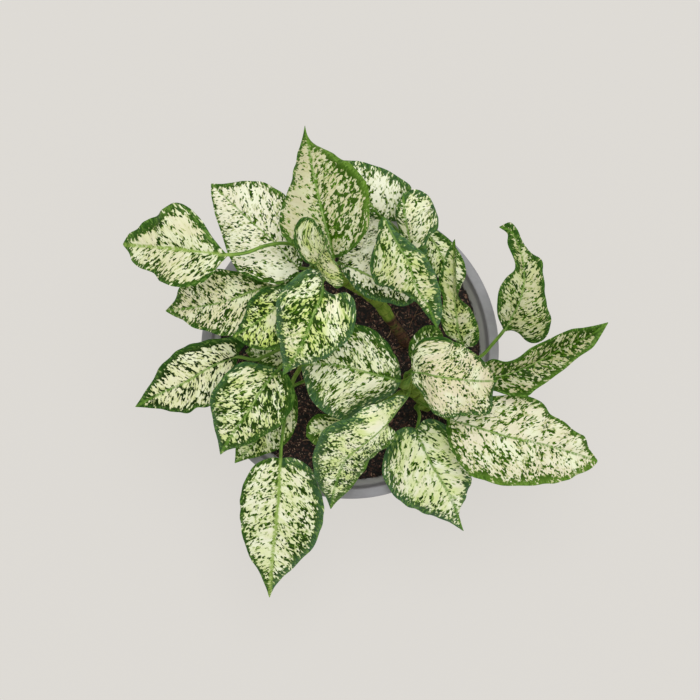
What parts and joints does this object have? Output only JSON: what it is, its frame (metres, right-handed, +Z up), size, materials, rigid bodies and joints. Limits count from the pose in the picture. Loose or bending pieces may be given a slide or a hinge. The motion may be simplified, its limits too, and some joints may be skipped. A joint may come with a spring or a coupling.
{
  "type": "potted chinese evergreen",
  "caption": "Potted Chinese evergreen: cream leaves speckled dark green on short leaning canes, in a round tapered grey pot with a thick rim, filled with dark soil.",
  "frame": {"origin": "middle of the pot's flat underside", "axes": "+Z up the pot's axis; the picture looks straight down it, with +X to its right and +Y to its top"},
  "size_m": [0.3824, 0.3795, 0.433],
  "materials": {
    "pot": "smooth matte grey",
    "soil": "loose dark brown potting mix with bark and fibres",
    "stem": "smooth olive green cane, ringed with pale brown leaf scars",
    "leaf": "semi-gloss leaf, cream speckled and streaked with dark green, with a green margin and midrib"
  },
  "bodies": {
    "root": {"leaf_01_far_left": "leaf", "leaf_02_upper_left": "leaf", "leaf_03_top": "leaf", "leaf_04_folded": "leaf", "leaf_05_top_right": "leaf", "leaf_06_upper_right": "leaf", "leaf_07_right_of_middle": "leaf", "leaf_08_under_right": "leaf", "leaf_09_right_upright": "leaf", "leaf_10_over_rim": "leaf", "leaf_11_pale_arched": "leaf", "leaf_12_right_long": "leaf", "leaf_13_right_twisted": "leaf", "leaf_14_large_lower_right": "leaf", "leaf_15_lower_right": "leaf", "leaf_16_arched": "leaf", "leaf_17_middle": "leaf", "leaf_18_heart": "leaf", "leaf_19_left": "leaf", "leaf_20_yellow_green": "leaf", "leaf_21_small_left": "leaf", "leaf_22_lower_left_long": "leaf", "leaf_23_lower_left_oval": "leaf", "leaf_24_lower_left_under": "leaf", "leaf_25_bottom": "leaf", "leaf_26_small_bottom": "leaf", "leaf_27_small_middle": "leaf", "pot": "pot", "soil": "soil", "stem_left": "stem", "stem_back": "stem", "stem_right": "stem", "stem_front": "stem"}
  },
  "joints": []
}
